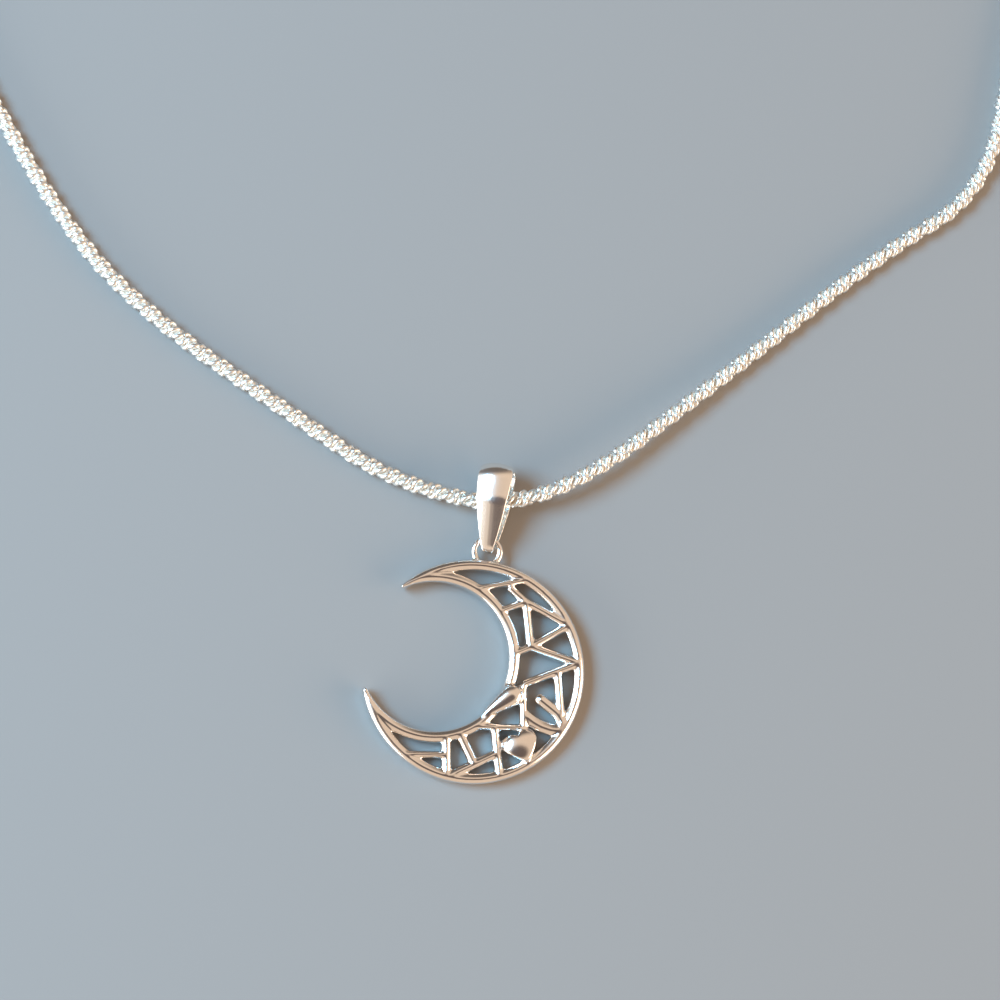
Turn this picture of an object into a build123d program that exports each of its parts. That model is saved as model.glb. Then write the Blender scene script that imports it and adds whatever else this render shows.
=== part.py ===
from build123d import *
import math
import os
from collections import namedtuple

# Crescent moon pendant on a rope chain, lying flat, in millimetres.
# The surface that it lies on is the plane z = 0, and +Y runs from the pendant to the clasp.
# The crescent is one casting with an open lattice. It hangs by a soldered ring from a bail,
# and the chain runs through the bail and closes in a barrel clasp.

# Crescent: an outer disc with a round hollow set to one side, which breaks out through the rim
crescent_radius = 10.0
hollow_radius = 6.65
hollow_break = 0.33
hollow_bearing = 159.0
upper_tip_width = 0.38
lower_tip_width = 0.48

# Roof section that rims and bars share
wall_height = 1.2
ridge_height = 1.5
ridge_width = 0.14
outer_rim_width = 0.95
outer_ridge_inset = 0.45
inner_rim_width = 1.0
inner_ridge_inset = 0.49
bar_width = 0.75

# Domed ornaments: a drop and a heart, each on an upright wall that stands clear of the bars
dome_height = 2.05
dome_wall_height = 1.3
drop_radius = 0.98
drop_fullness = 0.5
heart_lobe_radius = 0.88
heart_lobe_spacing = 1.5
heart_fullness = 0.5
heart_dome_room = 0.12

# Hanger ring, round wire, soldered on the outer rim
hanger_radius = 1.16
hanger_wire = 0.62
hanger_bearing = 83.3
hanger_sink = 0.36

# Bail: a tapered strap loop, widest and deepest near its top. Lean, roll and pitch are in degrees
bail_length = 7.1
bail_width = 3.1
bail_tip_width = 0.3
bail_depth = 3.9
bail_thickness = 0.38
bail_tip_gap = 0.4
bail_drop = 0.25
bail_crown_fall = 0.36
bail_foot_turn = 8.0
bail_lean = 5.5
bail_roll = 15.5
bail_pitch = 10.8

# Chain and clasp. Each corner of the chain takes this share of its shorter run on either side
chain_diameter = 1.6
chain_corner_share = 0.45
clasp_length = 11.0
clasp_diameter = 3.0
clasp_rounding = 0.45
socket_depth = 2.6
socket_gap = 0.1

# How far the chain's lowest corner is above the ring's wire, and the crescent's lift in degrees
chain_seat = 2.34
crescent_lift = 1.5

# Corners of the chain's route, from the clasp down the left side, through the bail and back up
chain_route = [
    (-3.2, 93.5, 1.5), (-14.0, 93.5, 1.5), (-31.0, 89.5, 0.8), (-47.5, 75.5, 0.8),
    (-57.0, 52.0, 0.8), (-58.6, 22.5, 0.8), (-56.0, -4.5, 0.8), (-49.3, -23.2, 0.8),
    (-37.4, -44.7, 0.8), (-29.2, -53.5, 0.8), (-16.0, -62.35, 0.8), (-6.6, -68.45, 0.85),
    (5.9, -70.95, 2.6), (23.8, -57.3, 0.9), (37.0, -46.7, 0.8), (47.3, -40.5, 0.8),
    (50.0, -27.0, 0.8), (56.0, -3.5, 0.8), (58.6, 23.5, 0.8), (56.5, 52.0, 0.8),
    (47.0, 75.5, 0.8), (31.0, 89.5, 0.8), (14.0, 93.5, 1.5), (3.2, 93.5, 1.5),
]

# The hollow's place, and the ridge circles of the two rims, which every bar is measured from
hollow_offset = crescent_radius - hollow_radius + hollow_break
outer_ridge_radius = crescent_radius - outer_ridge_inset
inner_ridge_radius = hollow_radius + inner_ridge_inset
hollow_centre = Vector(hollow_offset, 0).rotate(Axis.Z, hollow_bearing)

# The crescent's centre, hung below the chain's lowest corner by the bail and the ring
hanger_reach = crescent_radius + hanger_radius - hanger_sink
crescent_y = min(y for x, y, z in chain_route) - chain_seat - (hanger_reach + hanger_radius - bail_drop)

# Lattice bars. Bearings are degrees about the hollow's centre, anticlockwise from +X. A share of 0
# is on the inner ridge and a share of 1 on the outer one. Widths are shares of bar_width.
Bar = namedtuple("Bar", "start_bearing start_share end_bearing end_share width")
bars = [
    Bar(58.4, 0.00, 39.9, 1.00, 0.80),
    Bar(43.4, 0.58, 31.4, 0.57, 1.00),
    Bar(31.4, 0.57, 13.6, 1.00, 1.00),
    Bar(34.9, 0.00, 31.4, 0.57, 0.95),
    Bar(31.4, 0.57, 6.3, 0.27, 1.10),
    Bar(2.7, 0.00, 6.3, 0.27, 1.00),
    Bar(6.3, 0.27, 13.6, 1.00, 1.00),
    Bar(6.3, 0.27, -2.1, 1.00, 1.00),
    Bar(-2.1, 1.00, -16.8, 0.19, 1.00),
    Bar(-6.4, 0.66, -24.4, 0.87, 1.10),
    Bar(-16.8, 0.19, -38.8, 0.53, 1.00),
    Bar(-59.7, 0.00, -37.7, 0.54, 0.85),
    Bar(-49.2, 0.20, -61.1, 1.00, 1.10),
    Bar(-83.1, 1.00, -56.2, 0.60, 1.10),
    Bar(-71.5, 0.00, -69.4, 0.66, 1.15),
    Bar(-81.5, 0.00, -84.1, 1.00, 1.20),
    Bar(-107.1, 1.00, -82.9, 0.47, 0.85),
]

# The two arms of the hook, as bearings and shares of the points that each one passes
Arm = namedtuple("Arm", "points width")
arms = [
    Arm([(-32.6, 0.41), (-33.0, 0.56), (-32.7, 0.70), (-31.6, 0.85), (-29.6, 1.00)], 1.45),
    Arm([(-21.5, 0.50), (-24.1, 0.79), (-26.4, 0.93), (-29.4, 0.95)], 1.35),
]

# Ornaments, placed like the bars: each one's round end and its tip
drop_spot = (-26.2, 0.095)
drop_tip_spot = (-53.6, -0.07)
heart_spot = (-44.7, 0.616)
heart_tip_spot = (-48.0, 0.97)

# Side and front view of the bail, as shares of its length, depth and width
bail_belly_share = 0.55
bail_head_share = 0.80
bail_shoulder_share = 0.80
bail_waist_share = 0.27
bail_waist_width_share = 0.7
bail_corner_share = 0.28


def spot(bearing, share):
    """Point of the lattice at a bearing about the hollow, between inner and outer ridge."""
    ray = Vector(1, 0).rotate(Axis.Z, bearing)
    along = hollow_centre.dot(ray)
    reach = math.sqrt(along**2 + outer_ridge_radius**2 - hollow_centre.length**2) - along
    return hollow_centre + ray * (inner_ridge_radius + share * (reach - inner_ridge_radius))


def roof_points(low, high, ridge):
    """Roof section between two walls, with its flat ridge centred on the given place."""
    half = ridge_width / 2
    return [
        (low, 0), (high, 0), (high, wall_height), (ridge + half, ridge_height),
        (ridge - half, ridge_height), (low, wall_height),
    ]


def rim(low, high, ridge):
    """Round rim with a roof section, about the origin."""
    section = make_face(Plane.XZ * Polyline(*roof_points(low, high, ridge), close=True))
    return revolve(section, Axis.Z)


def bar(start, end, width):
    """Straight bar with a roof section whose ridge runs from start to end."""
    plane = Plane(start, x_dir=Vector(0, 0, 1).cross(end - start), z_dir=end - start)
    section = plane * make_face(Polyline(*roof_points(-width / 2, width / 2, 0), close=True))
    return extrude(section, (end - start).length)


def post(centre, width):
    """Round post that closes the corner where bars of an arm meet, or its free end."""
    half = ridge_width / 2
    section = make_face(Polyline(
        (0, 0, 0), (width / 2, 0, 0), (width / 2, 0, wall_height),
        (half, 0, ridge_height), (0, 0, ridge_height), close=True))
    return Pos(centre) * revolve(section, Axis.Z)


def teardrop(radius, reach, fullness):
    """Upper half of a teardrop's outline: a round end at the origin, and its tip on the X axis.

    A fullness of 0 gives straight sides and 1 gives sides that leave the round end at its widest."""
    touch = math.degrees(math.acos(radius / reach))
    touch += fullness * (90 - touch)
    back = Vector(-radius, 0)
    shoulder = Vector(radius, 0).rotate(Axis.Z, touch)
    side = Vector(radius, 0).rotate(Axis.Z, (180 + touch) / 2)
    tip = Vector(reach, 0)
    flank = TangentArc(shoulder, tip, tangent=shoulder.rotate(Axis.Z, -90))
    return make_face([
        *ThreePointArc(back, side, shoulder).edges(), *flank.edges(), *Line(tip, back).edges()])


def heading(start, end):
    """Angle of the line from start to end, in degrees from +X."""
    return math.degrees(math.atan2(end.Y - start.Y, end.X - start.X))


def drop():
    """Domed drop, a teardrop turned round its own axis and flattened."""
    centre, tip = spot(*drop_spot), spot(*drop_tip_spot)
    half = teardrop(drop_radius, (tip - centre).length, drop_fullness)
    rise = (dome_height - dome_wall_height) / drop_radius
    dome = Pos(0, 0, dome_wall_height) * scale(revolve(half, Axis.X), by=(1, 1, rise))
    prism = extrude(half + mirror(half, Plane.XZ), dome_height)
    foot = extrude(half + mirror(half, Plane.XZ), dome_wall_height)
    return Pos(centre) * Rot(0, 0, heading(centre, tip)) * (foot + (prism & dome))


def heart():
    """Puffed heart: two teardrops with one tip as its outline, under one smooth dome."""
    middle, tip = spot(*heart_spot), spot(*heart_tip_spot)
    lobe = Vector(0, heart_lobe_spacing / 2)
    end = Vector((tip - middle).length, 0)
    half = teardrop(heart_lobe_radius, (end - lobe).length, heart_fullness)
    turned = Pos(lobe) * Rot(0, 0, heading(lobe, end)) * (half + mirror(half, Plane.XZ))
    outline = turned + mirror(turned, Plane.XZ)
    across = heart_lobe_spacing / 2 + heart_lobe_radius + heart_dome_room
    along = (end.X + heart_lobe_radius) / 2 + heart_dome_room
    dome = scale(Sphere(1), by=(along, across, dome_height - dome_wall_height))
    dome = Pos(end.X - along + heart_dome_room, 0, dome_wall_height) * dome
    puffed = extrude(outline, dome_wall_height) + (extrude(outline, dome_height) & dome)
    return Pos(middle) * Rot(0, 0, heading(middle, tip)) * puffed


def envelope():
    """Outer form of the crescent, which the rims and bars are trimmed to, horns included."""
    slope = crescent_radius - outer_ridge_radius - ridge_width / 2
    disc = make_face(Plane.XZ * Polyline(
        (0, 0), (crescent_radius, 0), (crescent_radius, wall_height),
        (crescent_radius - slope, ridge_height), (crescent_radius - slope, dome_height),
        (0, dome_height), close=True))
    rise = inner_ridge_radius - ridge_width / 2 - hollow_radius
    hollow = make_face(Plane.XZ * Polyline(
        (0, -wall_height), (hollow_radius, -wall_height), (hollow_radius, wall_height),
        (hollow_radius + rise, ridge_height), (hollow_radius + rise, 2 * dome_height),
        (0, 2 * dome_height), close=True))
    blank = revolve(disc, Axis.Z) - Pos(hollow_centre) * revolve(hollow, Axis.Z)
    return blank - horn_trim()


def horn_angle(tip_width):
    """Angle from the hollow's bearing at which a horn is as wide as its blunt tip."""
    edge = crescent_radius - tip_width
    share = (edge**2 + hollow_offset**2 - hollow_radius**2) / (2 * edge * hollow_offset)
    return math.degrees(math.acos(share))


def horn_trim():
    """Sector beyond both blunt tips."""
    far = 2 * crescent_radius
    upper = Vector(far, 0).rotate(Axis.Z, hollow_bearing - horn_angle(upper_tip_width))
    lower = Vector(far, 0).rotate(Axis.Z, hollow_bearing + horn_angle(lower_tip_width))
    sector = make_face(Polyline((0, 0), upper, lower, close=True))
    return Pos(0, 0, -far / 2) * extrude(sector, far)


def horn_tip(side, tip_width):
    """Rounded end of one horn: the upper one's side is -1 and the lower one's is 1."""
    radius = tip_width / 2
    bearing = hollow_bearing + side * horn_angle(tip_width)
    centre = Vector(crescent_radius - radius, 0).rotate(Axis.Z, bearing)
    return Pos(centre) * (
        Pos(0, 0, wall_height / 2) * Cylinder(radius, wall_height)
        + Pos(0, 0, wall_height) * Sphere(radius))


def hanger_centre():
    """Centre of the hanger ring, half way up the casting."""
    return Vector(hanger_reach, 0, ridge_height / 2).rotate(Axis.Z, hanger_bearing)


def crescent_flat():
    """The whole casting, flat on its back about the crescent's centre."""
    lattice = rim(crescent_radius - outer_rim_width, crescent_radius, outer_ridge_radius)
    lattice += Pos(hollow_centre) * rim(
        hollow_radius, hollow_radius + inner_rim_width, inner_ridge_radius)
    for item in bars:
        lattice += bar(
            spot(item.start_bearing, item.start_share), spot(item.end_bearing, item.end_share),
            item.width * bar_width)
    for arm in arms:
        stops = [spot(*point) for point in arm.points]
        for start, end in zip(stops, stops[1:]):
            lattice += bar(start, end, arm.width * bar_width)
            lattice += post(start, arm.width * bar_width)
    casting = lattice & envelope()
    casting += [drop(), heart(), horn_tip(-1, upper_tip_width), horn_tip(1, lower_tip_width)]
    return casting + Pos(hanger_centre()) * Torus(hanger_radius, hanger_wire / 2)


def lay_crescent(shape):
    """Moves the flat casting to its place, with its top lifted a little."""
    return (Pos(0, crescent_y - crescent_radius, 0) * Rot(crescent_lift, 0, 0)
            * Pos(0, crescent_radius, 0) * shape)


def bail_crest():
    """Crest line of the strap from its foot over the front to its top: three arcs and their tangents."""
    tip_radius = hanger_wire / 2 + bail_tip_gap + bail_thickness
    head_radius = bail_depth * bail_head_share / 2
    circles = [
        (0, tip_radius), (bail_length * bail_belly_share, bail_depth / 2),
        (bail_length - head_radius, head_radius)]
    facing = [180]
    for (place, radius), (next_place, next_radius) in zip(circles, circles[1:]):
        slope = math.asin((next_radius - radius) / (next_place - place))
        facing.append(90 + math.degrees(slope))
    facing.append(0)
    runs = []
    for (place, radius), first, last in zip(circles, facing, facing[1:]):
        stops = [
            Vector(place, 0) + Vector(radius, 0).rotate(Axis.Z, angle)
            for angle in (first, (first + last) / 2, last)]
        if runs:
            runs += Line(runs[-1] @ 1, stops[0]).edges()
        runs += ThreePointArc(*stops).edges()
    return Plane.YZ * Wire(runs)


def bail_front():
    """Front view of the bail, tapered from its shoulders to the tip."""
    shoulder = Vector(bail_width / 2, bail_length * bail_shoulder_share)
    waist = Vector(bail_width / 2 * bail_waist_width_share, bail_length * bail_waist_share)
    tip = Vector(bail_tip_width / 2, -bail_depth / 2)
    top = Vector(bail_width / 2, bail_length)
    half = make_face([
        *ThreePointArc(tip, waist, shoulder).edges(),
        *Polyline(shoulder, top, (0, bail_length), (0, tip.Y), tip).edges()])
    face = half + mirror(half, Plane.YZ)
    corners = face.vertices().group_by(Axis.Y)[-1].sort_by(Axis.X)
    return fillet([corners[0], corners[-1]], bail_width * bail_corner_share)


def bail_section(crest):
    """Cross-section of the strap at the start of its crest line, arched across its width."""
    half = bail_width / 2
    back = bail_crown_fall + bail_thickness
    outline = [
        *ThreePointArc((-half, bail_crown_fall), (0, 0), (half, bail_crown_fall)).edges(),
        *Line((half, bail_crown_fall), (half, back)).edges(),
        *ThreePointArc((half, back), (0, bail_thickness), (-half, back)).edges(),
        *Line((-half, back), (-half, bail_crown_fall)).edges()]
    return Plane(crest @ 0, x_dir=(1, 0, 0), z_dir=crest % 0) * make_face(outline)


def bail_upright():
    """The bail about the centre of its tip loop, long axis on +Y and front on +Z."""
    crest = bail_crest()
    strap = sweep(bail_section(crest), path=crest)
    strap += mirror(strap, Plane.XY)
    return strap & extrude(bail_front(), bail_depth, both=True)


def lay_bail(shape):
    """Moves the bail to the hanger ring's wire, leaned, pitched and rolled as it lies."""
    foot_bearing = 90 - bail_lean - bail_foot_turn
    wire = hanger_centre() + Vector(hanger_radius - bail_drop, 0).rotate(Axis.Z, foot_bearing)
    place = Pos(lay_crescent(Pos(wire)).position)
    return place * Rot(0, 0, -bail_lean) * Rot(bail_pitch, 0, 0) * Rot(0, -bail_roll, 0) * shape


def chain_radii(points):
    """One radius for each corner of the route, as large as its two runs allow."""
    radii = []
    for before, corner, after in zip(points, points[1:], points[2:]):
        first, second = corner - before, after - corner
        half_turn = math.radians(first.get_angle(second)) / 2
        radii.append(chain_corner_share * min(first.length, second.length) / math.tan(half_turn))
    return radii


def rope_chain():
    """The chain's plain tube along its whole route."""
    points = [Vector(point) for point in chain_route]
    radii = chain_radii(points)
    path = FilletPolyline(*points, radius=radii)
    tube = sweep(Plane(path @ 0, z_dir=path % 0) * Circle(chain_diameter / 2), path=path)
    print("chain radii", [round(radius, 1) for radius in radii])
    print("chain length", round(path.length, 2))
    print("chain volume", round(tube.volume, 2), "section times length",
          round(math.pi * chain_diameter**2 / 4 * path.length, 2))
    return tube


def clasp():
    """Plain barrel with a blind socket for each end of the chain."""
    barrel = Rot(0, 90, 0) * Cylinder(clasp_diameter / 2, clasp_length)
    barrel = fillet(barrel.edges(), clasp_rounding)
    for side in (-1, 1):
        socket = Rot(0, 90, 0) * Cylinder(chain_diameter / 2 + socket_gap, socket_depth)
        barrel -= Pos(side * (clasp_length - socket_depth) / 2, 0, 0) * socket
    return Pos(0, *chain_route[0][1:]) * barrel


os.makedirs("parts", exist_ok=True)
nodes = {
    "crescent": lay_crescent(crescent_flat()),
    "bail": lay_bail(bail_upright()),
    "rope_chain": rope_chain(),
    "clasp": clasp(),
}
for name, shape in nodes.items():
    export_step(shape, f"parts/{name}.step")
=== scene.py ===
import math
import bpy
from mathutils import Matrix, Vector


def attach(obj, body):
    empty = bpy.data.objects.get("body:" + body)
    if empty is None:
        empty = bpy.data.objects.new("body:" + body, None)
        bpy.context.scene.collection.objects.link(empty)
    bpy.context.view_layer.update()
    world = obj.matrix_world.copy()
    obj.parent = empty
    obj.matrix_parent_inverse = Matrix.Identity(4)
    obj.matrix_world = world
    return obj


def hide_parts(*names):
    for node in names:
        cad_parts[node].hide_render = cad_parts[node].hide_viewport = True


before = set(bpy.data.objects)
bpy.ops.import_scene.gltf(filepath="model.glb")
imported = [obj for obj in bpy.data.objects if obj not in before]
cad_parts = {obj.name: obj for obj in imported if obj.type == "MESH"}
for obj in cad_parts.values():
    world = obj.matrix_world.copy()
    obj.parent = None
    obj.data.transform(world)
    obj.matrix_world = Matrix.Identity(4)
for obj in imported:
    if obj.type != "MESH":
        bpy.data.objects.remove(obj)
bpy.ops.object.select_all(action="DESELECT")
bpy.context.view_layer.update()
mm = 0.001
mergeDistance = 0.0005 * mm


def activate(piece):
    bpy.ops.object.select_all(action="DESELECT")
    piece.select_set(True)
    bpy.context.view_layer.objects.active = piece


def applyModifiers(piece):
    activate(piece)
    for modifier in list(piece.modifiers):
        bpy.ops.object.modifier_apply(modifier=modifier.name)


def copyOfNode(node, name):
    # a node's mesh is loose triangles, so the copy is merged before it is refined
    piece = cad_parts[node].copy()
    piece.data = piece.data.copy()
    piece.name = piece.data.name = name
    for key in list(piece.keys()):
        del piece[key]
    piece.parent = None
    bpy.context.scene.collection.objects.link(piece)
    activate(piece)
    bpy.ops.object.mode_set(mode="EDIT")
    bpy.ops.mesh.select_all(action="SELECT")
    bpy.ops.mesh.remove_doubles(threshold=mergeDistance)
    bpy.ops.mesh.normals_make_consistent(inside=False)
    bpy.ops.object.mode_set(mode="OBJECT")
    if piece.data.has_custom_normals:
        bpy.ops.mesh.customdata_custom_splitnormals_clear()
    return piece


def remeshFinely(piece, voxel):
    remesh = piece.modifiers.new("remesh", "REMESH")
    remesh.mode = "VOXEL"
    remesh.voxel_size = voxel


def smoothOver(piece, rounds, factor=0.5):
    smooth = piece.modifiers.new("smooth", "SMOOTH")
    smooth.factor = factor
    smooth.iterations = rounds


def report(stage, piece):
    triangles = sum(len(face.vertices) - 2 for face in piece.data.polygons)
    print(stage, "-", piece.name, triangles, "triangles")


class Shade:
    # one output socket of a material, so that expressions on values add their own Math nodes
    def __init__(self, tree, socket=None):
        self.tree = tree
        self.socket = socket

    def node(self, kind, settings={}, inputs={}, output=0):
        made = self.tree.nodes.new(kind)
        for key, value in settings.items():
            setattr(made, key, value)
        for key, value in inputs.items():
            if isinstance(value, Shade):
                self.tree.links.new(value.socket, made.inputs[key])
            else:
                made.inputs[key].default_value = value
        return Shade(self.tree, made.outputs[output] if len(made.outputs) else None)

    def maths(self, operation, first, second):
        return self.node("ShaderNodeMath", {"operation": operation}, {0: first, 1: second})

    def mix(self, amount, under, over):
        # sockets 6 and 7 of a Mix node are its two colours, and output 2 is the mixed one
        return self.node("ShaderNodeMix", {"data_type": "RGBA"}, {"Factor": amount, 6: under, 7: over}, 2)

    def fadeIn(self, value, least, most):
        return self.node(
            "ShaderNodeMapRange", {"interpolation_type": "SMOOTHSTEP"},
            {"Value": value, "From Min": least, "From Max": most})

    def __add__(self, other):
        return self.maths("ADD", self, other)

    def __sub__(self, other):
        return self.maths("SUBTRACT", self, other)

    def __rsub__(self, other):
        return self.maths("SUBTRACT", other, self)

    def __mul__(self, other):
        return self.maths("MULTIPLY", self, other)

    __radd__ = __add__
    __rmul__ = __mul__


def emptyTree(owner):
    # a material or world with all its nodes taken out
    owner.use_nodes = True
    owner.node_tree.nodes.clear()
    return Shade(owner.node_tree)


# grain is how many patches of haze or lengths of scratch fit in a metre, before they are stretched.
# recess is how near other metal has to be for tarnish and painted shade to gather,
# and dull is how far that tarnished and shaded colour is from metal.
silverLook = {
    "cast": {
        "colour": (0.92, 0.88, 0.84, 1), "tarnishAndShade": (0.80, 0.71, 0.63, 1), "roughness": 0.17,
        "haze": 0.12, "scratchDepth": 0.0012 * mm, "grain": 900, "recess": 0.35 * mm, "dull": 0.5},
    "bail": {
        "colour": (0.97, 0.94, 0.90, 1), "tarnishAndShade": (0.60, 0.50, 0.43, 1), "roughness": 0.21,
        "haze": 0.10, "scratchDepth": 0.0008 * mm, "grain": 700, "recess": 0.3 * mm, "dull": 0.3},
    "chain": {
        "colour": (0.99, 0.96, 0.90, 1), "tarnishAndShade": (0.97, 0.90, 0.80, 1), "roughness": 0.34,
        "haze": 0.08, "scratchDepth": 0.0006 * mm, "grain": 1500, "recess": 0.6 * mm, "dull": 0.9},
    "clasp": {
        "colour": (0.93, 0.91, 0.88, 1), "tarnishAndShade": (0.55, 0.45, 0.38, 1), "roughness": 0.18,
        "haze": 0.12, "scratchDepth": 0.0010 * mm, "grain": 800, "recess": 0.3 * mm, "dull": 0.3},
}

# what all four silvers share
polish = {
    "hazeGrain": 0.6,
    "hazeDetail": 4.0,
    "hazeRoughness": 0.6,
    "hazeHeight": 1.5,
    "scratchTurns": ((0.2, 0.1, 0.5), (0.1, 0.3, 2.0)),
    "scratchStretch": (12, 1, 4),
    "scratchDetail": 3.0,
    "bumpStrength": 0.6,
    "recessSamples": 6,
    "recessHaze": 0.12,
    "tarnishedAndShadedBelow": 0.30,
    "cleanAndUnshadedAbove": 0.85,
    "tarnishRoughness": 0.12,
}


def silver(name, look):
    material = bpy.data.materials.new(name)
    shade = emptyTree(material)
    place = shade.node("ShaderNodeTexCoord", output="Object")
    # handling haze: broad soft patches where the polish has dulled
    haze = shade.node("ShaderNodeTexNoise", {}, {
        "Vector": place, "Scale": look["grain"] * polish["hazeGrain"],
        "Detail": polish["hazeDetail"], "Roughness": polish["hazeRoughness"]})
    # fine scratches run two ways, each a stretched noise
    scratches = []
    for turn in polish["scratchTurns"]:
        stretch = tuple(look["grain"] * share for share in polish["scratchStretch"])
        lines = shade.node(
            "ShaderNodeMapping", {}, {"Vector": place, "Rotation": turn, "Scale": stretch})
        scratches.append(shade.node(
            "ShaderNodeTexNoise", {}, {"Vector": lines, "Scale": 1.0, "Detail": polish["scratchDetail"]}))
    height = scratches[0] + scratches[1] + haze * polish["hazeHeight"]
    bump = shade.node("ShaderNodeBump", {}, {
        "Strength": polish["bumpStrength"], "Distance": look["scratchDepth"], "Height": height})
    # tarnish and painted shade gather where other metal is close, darkening the colour and dulling the
    # metal
    openness = shade.node(
        "ShaderNodeAmbientOcclusion", {"samples": polish["recessSamples"], "only_local": True},
        {"Distance": look["recess"]}, "AO")
    # the mask is 1 in the open and falls to 0 in recesses, where tarnish and painted shade go
    cleanAndUnshaded = shade.fadeIn(
        openness + haze * polish["recessHaze"], polish["tarnishedAndShadedBelow"], polish["cleanAndUnshadedAbove"])
    # painted shade and tarnish: the colour moves to the tarnish colour in recesses that ambient occlusion
    # finds
    colour = shade.mix(cleanAndUnshaded, look["tarnishAndShade"], look["colour"])
    evenRoughness = look["roughness"] - look["haze"] / 2
    roughness = haze * look["haze"] + (1 - cleanAndUnshaded) * polish["tarnishRoughness"] + evenRoughness
    metallic = 1 - (1 - cleanAndUnshaded) * look["dull"]
    metal = shade.node("ShaderNodeBsdfPrincipled", {}, {
        "Base Color": colour, "Metallic": metallic, "Roughness": roughness, "Normal": bump})
    shade.node("ShaderNodeOutputMaterial", {}, {"Surface": metal})
    return material


silvers = {name: silver(name + "Silver", look) for name, look in silverLook.items()}
print("materials made")


def dress(piece, finish):
    piece.data.materials.clear()
    piece.data.materials.append(silvers[finish])
    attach(piece, "root")


# the casting's edges are soft, as after a long polish. kept is the share of its triangles left at the end.
crescentLook = {"voxel": 0.05 * mm, "rounds": 60, "kept": 0.25, "lastRounds": 3}

crescent = copyOfNode("crescent", "moonCasting")
remeshFinely(crescent, crescentLook["voxel"])
smoothOver(crescent, crescentLook["rounds"])
thin = crescent.modifiers.new("thin", "DECIMATE")
thin.ratio = crescentLook["kept"]
smoothOver(crescent, crescentLook["lastRounds"])
applyModifiers(crescent)
bpy.ops.object.shade_smooth()
dress(crescent, "cast")
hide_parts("crescent")
report("crescent done", crescent)


bailLook = {"voxel": 0.04 * mm, "rounds": 20}

bail = copyOfNode("bail", "bailLoop")
remeshFinely(bail, bailLook["voxel"])
smoothOver(bail, bailLook["rounds"])
applyModifiers(bail)
bpy.ops.object.shade_smooth()
dress(bail, "bail")
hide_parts("bail")
report("bail done", bail)


# the route's corners are the source's, in mm, from the clasp down the left side and back up.
# lay is one whole turn of the rope, and offset is how far each link sits from the rope's middle.
chainLook = {
    "route": [
        (-3.2, 93.5, 1.5), (-14.0, 93.5, 1.5), (-31.0, 89.5, 0.8), (-47.5, 75.5, 0.8),
        (-57.0, 52.0, 0.8), (-58.6, 22.5, 0.8), (-56.0, -4.5, 0.8), (-49.3, -23.2, 0.8),
        (-37.4, -44.7, 0.8), (-29.2, -53.5, 0.8), (-16.0, -62.35, 0.8), (-6.6, -68.45, 0.85),
        (5.9, -70.95, 2.6), (23.8, -57.3, 0.9), (37.0, -46.7, 0.8), (47.3, -40.5, 0.8),
        (50.0, -27.0, 0.8), (56.0, -3.5, 0.8), (58.6, 23.5, 0.8), (56.5, 52.0, 0.8),
        (47.0, 75.5, 0.8), (31.0, 89.5, 0.8), (14.0, 93.5, 1.5), (3.2, 93.5, 1.5)],
    "routeSteps": 48,
    "lay": 4.0 * mm,
    "linksPerLay": 16,
    "linkRadius": 0.25 * mm,
    "linkSides": 14,
    "wireRadius": 0.22 * mm,
    "wireSides": 6,
    "offset": 0.33 * mm,
    "slant": 42,
    "stretch": 1.3,
}

routeCurve = bpy.data.curves.new("ropeRoute", "CURVE")
routeCurve.dimensions = "3D"
routeCurve.resolution_u = chainLook["routeSteps"]
routeSpline = routeCurve.splines.new("NURBS")
routeSpline.points.add(len(chainLook["route"]) - 1)
for point, corner in zip(routeSpline.points, chainLook["route"]):
    point.co = (*[value * mm for value in corner], 1)
routeSpline.order_u = 3
routeSpline.use_endpoint_u = True
route = bpy.data.objects.new("ropeRoute", routeCurve)
bpy.context.scene.collection.objects.link(route)
routeLength = routeSpline.calc_length(resolution=chainLook["routeSteps"])
lays = round(routeLength / chainLook["lay"])
lay = routeLength / lays
print("rope route", round(routeLength / mm, 2), "mm,", lays, "lays of", round(lay / mm, 3), "mm")


def ropeLay(look):
    # one whole turn of the rope along +X. Links sit on alternate sides, and each is turned a little
    # further. Each oval link stands up across the rope, slanted against the way that the strands wind.
    upright = Matrix.Rotation(math.radians(90), 4, "X")
    slant = Matrix.Rotation(math.radians(look["slant"]), 4, "Z")
    oval = Matrix.Scale(look["stretch"], 4, (1, 0, 0))
    outwards = Matrix.Translation((0, 0, look["offset"]))
    links = []
    for index in range(look["linksPerLay"]):
        bpy.ops.object.select_all(action="DESELECT")
        bpy.ops.mesh.primitive_torus_add(
            major_segments=look["linkSides"], minor_segments=look["wireSides"],
            major_radius=look["linkRadius"], minor_radius=look["wireRadius"])
        link = bpy.context.object
        share = index / look["linksPerLay"]
        spin = Matrix.Rotation(math.tau * share + math.pi * (index % 2), 4, "X")
        link.data.transform(
            Matrix.Translation((lay * share, 0, 0)) @ spin @ outwards @ slant @ upright @ oval)
        links.append(link)
    for link in links:
        link.select_set(True)
    bpy.context.view_layer.objects.active = links[0]
    bpy.ops.object.join()
    piece = bpy.context.object
    activate(piece)
    bpy.ops.object.transform_apply()
    return piece


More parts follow.
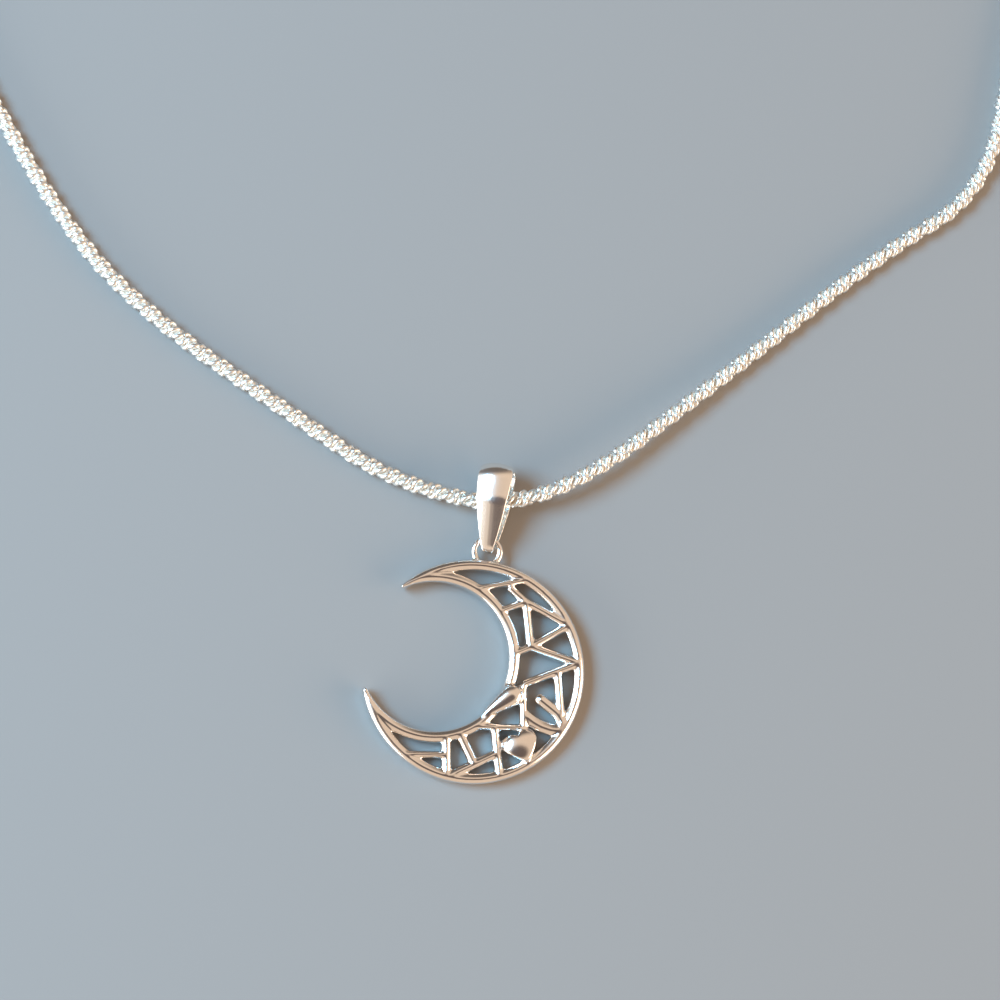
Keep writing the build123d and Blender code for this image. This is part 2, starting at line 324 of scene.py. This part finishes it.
def ropeStretch(name, first, count):
    piece = ropeLay(chainLook)
    piece.name = piece.data.name = name
    piece.data.transform(Matrix.Translation((first * lay, 0, 0)))
    repeat = piece.modifiers.new("repeat", "ARRAY")
    repeat.count = count
    repeat.use_relative_offset = False
    repeat.use_constant_offset = True
    repeat.constant_offset_displace = (lay, 0, 0)
    follow = piece.modifiers.new("follow", "CURVE")
    follow.object = route
    follow.deform_axis = "POS_X"
    applyModifiers(piece)
    bpy.ops.object.shade_smooth()
    dress(piece, "chain")
    return piece


half = lays // 2
ropeLeft = ropeStretch("ropeLeft", 0, half)
ropeRight = ropeStretch("ropeRight", half, lays - half)
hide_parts("rope_chain")
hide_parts("rope_chain")
bpy.data.objects.remove(route)
report("chain done", ropeLeft)
report("chain done", ropeRight)


claspLook = {"sharpAbove": 40}

clasp = copyOfNode("clasp", "claspBarrel")
bpy.ops.object.shade_smooth_by_angle(angle=math.radians(claspLook["sharpAbove"]))
dress(clasp, "clasp")
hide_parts("clasp")
report("clasp done", clasp)


# bearings are degrees anticlockwise from +X, and rises are degrees up from the surface
studio = {
    "floorColour": (0.338, 0.311, 0.284, 1),
    "floorRoughness": 0.6,
    "floorGloss": 0.3,
    "floorSize": 3,
    "target": (2.41 * mm, -69.64 * mm, 1.4 * mm),
    "frameWidth": 89.3 * mm,
    "distance": 420 * mm,
    "nearest": 10 * mm,
    "lean": 10.0,
    "leanBearing": 225,
    "sensor": 36,
    "room": (0.86, 0.66, 0.50, 1),
    "roomStrength": 0.9,
}

# the soft window light, a low fill from the left and a warm fill from the right
panels = {
    "windowLeft": {
        "bearing": 166, "rise": 47, "distance": 0.7, "size": (0.4, 0.3),
        "power": 7.2, "colour": (0.26, 0.63, 1.0)},
    "lowLeft": {
        "bearing": 195, "rise": 12, "distance": 0.6, "size": (0.9, 0.25),
        "power": 2.5, "colour": (0.90, 0.97, 1.0)},
    "warmRight": {
        "bearing": -20, "rise": 18, "distance": 0.7, "size": (0.7, 0.35),
        "power": 3.0, "colour": (1.0, 0.80, 0.62)},
}

# what the metal mirrors in the room. A patch fades in between the cosines from and to.
patches = {
    "window": {"bearing": 182, "rise": 0, "from": 0.45, "to": 0.85, "colour": (0.98, 0.89, 0.78, 1)},
    "dimWall": {"bearing": 106, "rise": 0, "from": 0.5, "to": 0.85, "colour": (0.16, 0.13, 0.11, 1)},
    "ceiling": {"bearing": 262, "rise": 68, "from": 0.83, "to": 0.94, "colour": (0.15, 0.11, 0.095, 1)},
}


def towards(bearing, rise):
    bearing, rise = math.radians(bearing), math.radians(rise)
    return Vector((math.cos(bearing) * math.cos(rise), math.sin(bearing) * math.cos(rise), math.sin(rise)))


bpy.ops.object.select_all(action="DESELECT")
bpy.ops.mesh.primitive_plane_add(size=studio["floorSize"])
floor = bpy.context.object
floor.name = "studioFloor"
floorPaint = bpy.data.materials.new("floorPaint")
shade = emptyTree(floorPaint)
surface = shade.node("ShaderNodeBsdfPrincipled", {}, {
    "Base Color": studio["floorColour"], "Roughness": studio["floorRoughness"],
    "Specular IOR Level": studio["floorGloss"]})
shade.node("ShaderNodeOutputMaterial", {}, {"Surface": surface})
floor.data.materials.append(floorPaint)

target = Vector(studio["target"])
for name, look in panels.items():
    light = bpy.data.lights.new(name, "AREA")
    light.shape = "ELLIPSE"
    light.size, light.size_y = look["size"]
    light.energy = look["power"]
    light.color = look["colour"]
    lamp = bpy.data.objects.new(name, light)
    bpy.context.scene.collection.objects.link(lamp)
    lamp.location = target + look["distance"] * towards(look["bearing"], look["rise"])
    lamp.rotation_euler = (lamp.location - target).to_track_quat("Z", "Y").to_euler()

world = bpy.data.worlds.new("studioRoom")
bpy.context.scene.world = world
room = emptyTree(world)
way = room.node("ShaderNodeTexCoord", output="Generated")
colour = studio["room"]
for look in patches.values():
    aim = towards(look["bearing"], look["rise"])
    along = room.node("ShaderNodeVectorMath", {"operation": "DOT_PRODUCT"}, {0: way, 1: aim}, "Value")
    colour = room.mix(room.fadeIn(along, look["from"], look["to"]), colour, look["colour"])
glow = room.node("ShaderNodeBackground", {}, {"Color": colour, "Strength": studio["roomStrength"]})
room.node("ShaderNodeOutputWorld", {}, {"Surface": glow})

lens = bpy.data.cameras.new("photoCamera")
lens.sensor_width = studio["sensor"]
lens.sensor_fit = "HORIZONTAL"
lens.lens = studio["sensor"] * studio["distance"] / studio["frameWidth"]
lens.clip_start = studio["nearest"]
camera = bpy.data.objects.new("photoCamera", lens)
bpy.context.scene.collection.objects.link(camera)
# the camera looks down its view line, with the photo's top towards the clasp
back = towards(studio["leanBearing"], 90 - studio["lean"])
right = Vector((0, 1, 0)).cross(back).normalized()
camera.location = target + back * studio["distance"]
camera.rotation_euler = Matrix((right, back.cross(right), back)).transposed().to_euler()
bpy.context.scene.camera = camera
bpy.context.scene.view_settings.view_transform = "Standard"
print("studio set")
